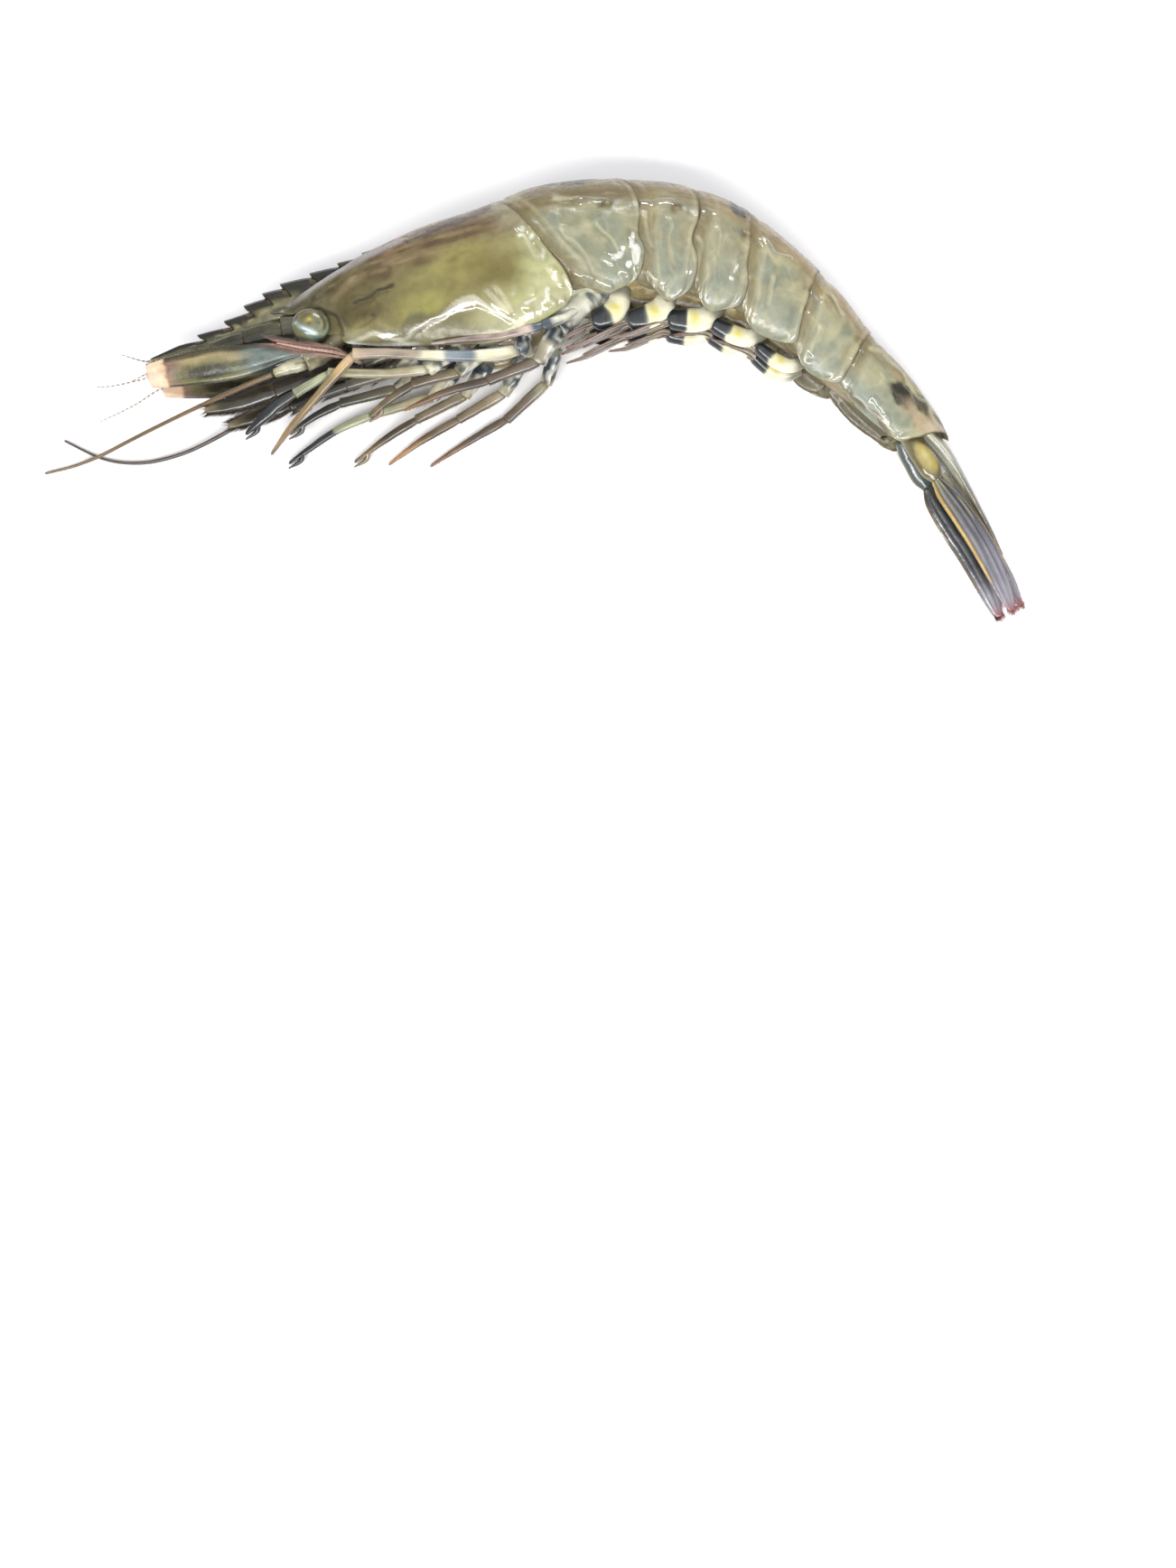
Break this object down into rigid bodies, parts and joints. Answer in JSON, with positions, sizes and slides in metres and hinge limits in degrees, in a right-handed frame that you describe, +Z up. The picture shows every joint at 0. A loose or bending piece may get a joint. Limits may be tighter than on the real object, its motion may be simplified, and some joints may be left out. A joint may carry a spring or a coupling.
{
  "type": "raw tiger prawn",
  "caption": "Whole raw tiger prawn in its shell, lying on its side with the tail curled down, head, feelers, walking legs, swimming legs and closed tail fan in place.",
  "frame": {"origin": "centre of the whole animal's outline on the ground plan, on the plane that it lies on", "axes": "+X from the head towards the tail, +Y towards the back, +Z up, out of the left side that faces the viewer"},
  "size_m": [0.2072, 0.0886, 0.0247],
  "materials": {
    "fore_shell": "wet translucent olive shell over flesh",
    "abdomen_shell": "wet grey-olive shell with pale seams and darker bands",
    "tail_shell": "wet olive shell, ochre at the stalks",
    "fan_blade": "wet dark slate blade with a red fringe",
    "eye": "glassy wet grey-green",
    "antennule": "dark olive, wet",
    "scale": "olive and slate with a peach tip, wet",
    "feeler_base": "cream and olive, wet",
    "feeler": "ringed olive-brown horn",
    "mouth_foot": "dark olive-grey, wet",
    "walking_leg": "tan, cream and slate bands, wet",
    "swimming_leg": "cream with black bands and yellow spots, wet"
  },
  "bodies": {
    "root": {"carapace": "fore_shell", "abdomen_1": "abdomen_shell", "abdomen_2": "abdomen_shell", "abdomen_3": "abdomen_shell", "abdomen_4": "abdomen_shell", "abdomen_5": "abdomen_shell", "abdomen_6": "abdomen_shell", "telson": "tail_shell", "eye_left": "eye", "antennule_left": "antennule", "antennal_scale_left": "scale", "antenna_base_left": "feeler_base", "antenna_left": "feeler", "maxilliped_left": "mouth_foot", "leg_1_left": "walking_leg", "leg_2_left": "walking_leg", "leg_3_left": "walking_leg", "leg_4_left": "walking_leg", "leg_5_left": "walking_leg", "swimmer_1_left": "swimming_leg", "swimmer_2_left": "swimming_leg", "swimmer_3_left": "swimming_leg", "swimmer_4_left": "swimming_leg", "swimmer_5_left": "swimming_leg", "tail_stalk_left": "tail_shell", "tail_outer_left": "fan_blade", "tail_inner_left": "fan_blade", "eye_right": "eye", "antennule_right": "antennule", "antennal_scale_right": "scale", "antenna_base_right": "feeler_base", "antenna_right": "feeler", "maxilliped_right": "mouth_foot", "leg_1_right": "walking_leg", "leg_2_right": "walking_leg", "leg_3_right": "walking_leg", "leg_4_right": "walking_leg", "leg_5_right": "walking_leg", "swimmer_1_right": "swimming_leg", "swimmer_2_right": "swimming_leg", "swimmer_3_right": "swimming_leg", "swimmer_4_right": "swimming_leg", "swimmer_5_right": "swimming_leg", "tail_stalk_right": "tail_shell", "tail_outer_right": "fan_blade", "tail_inner_right": "fan_blade"}
  },
  "joints": []
}
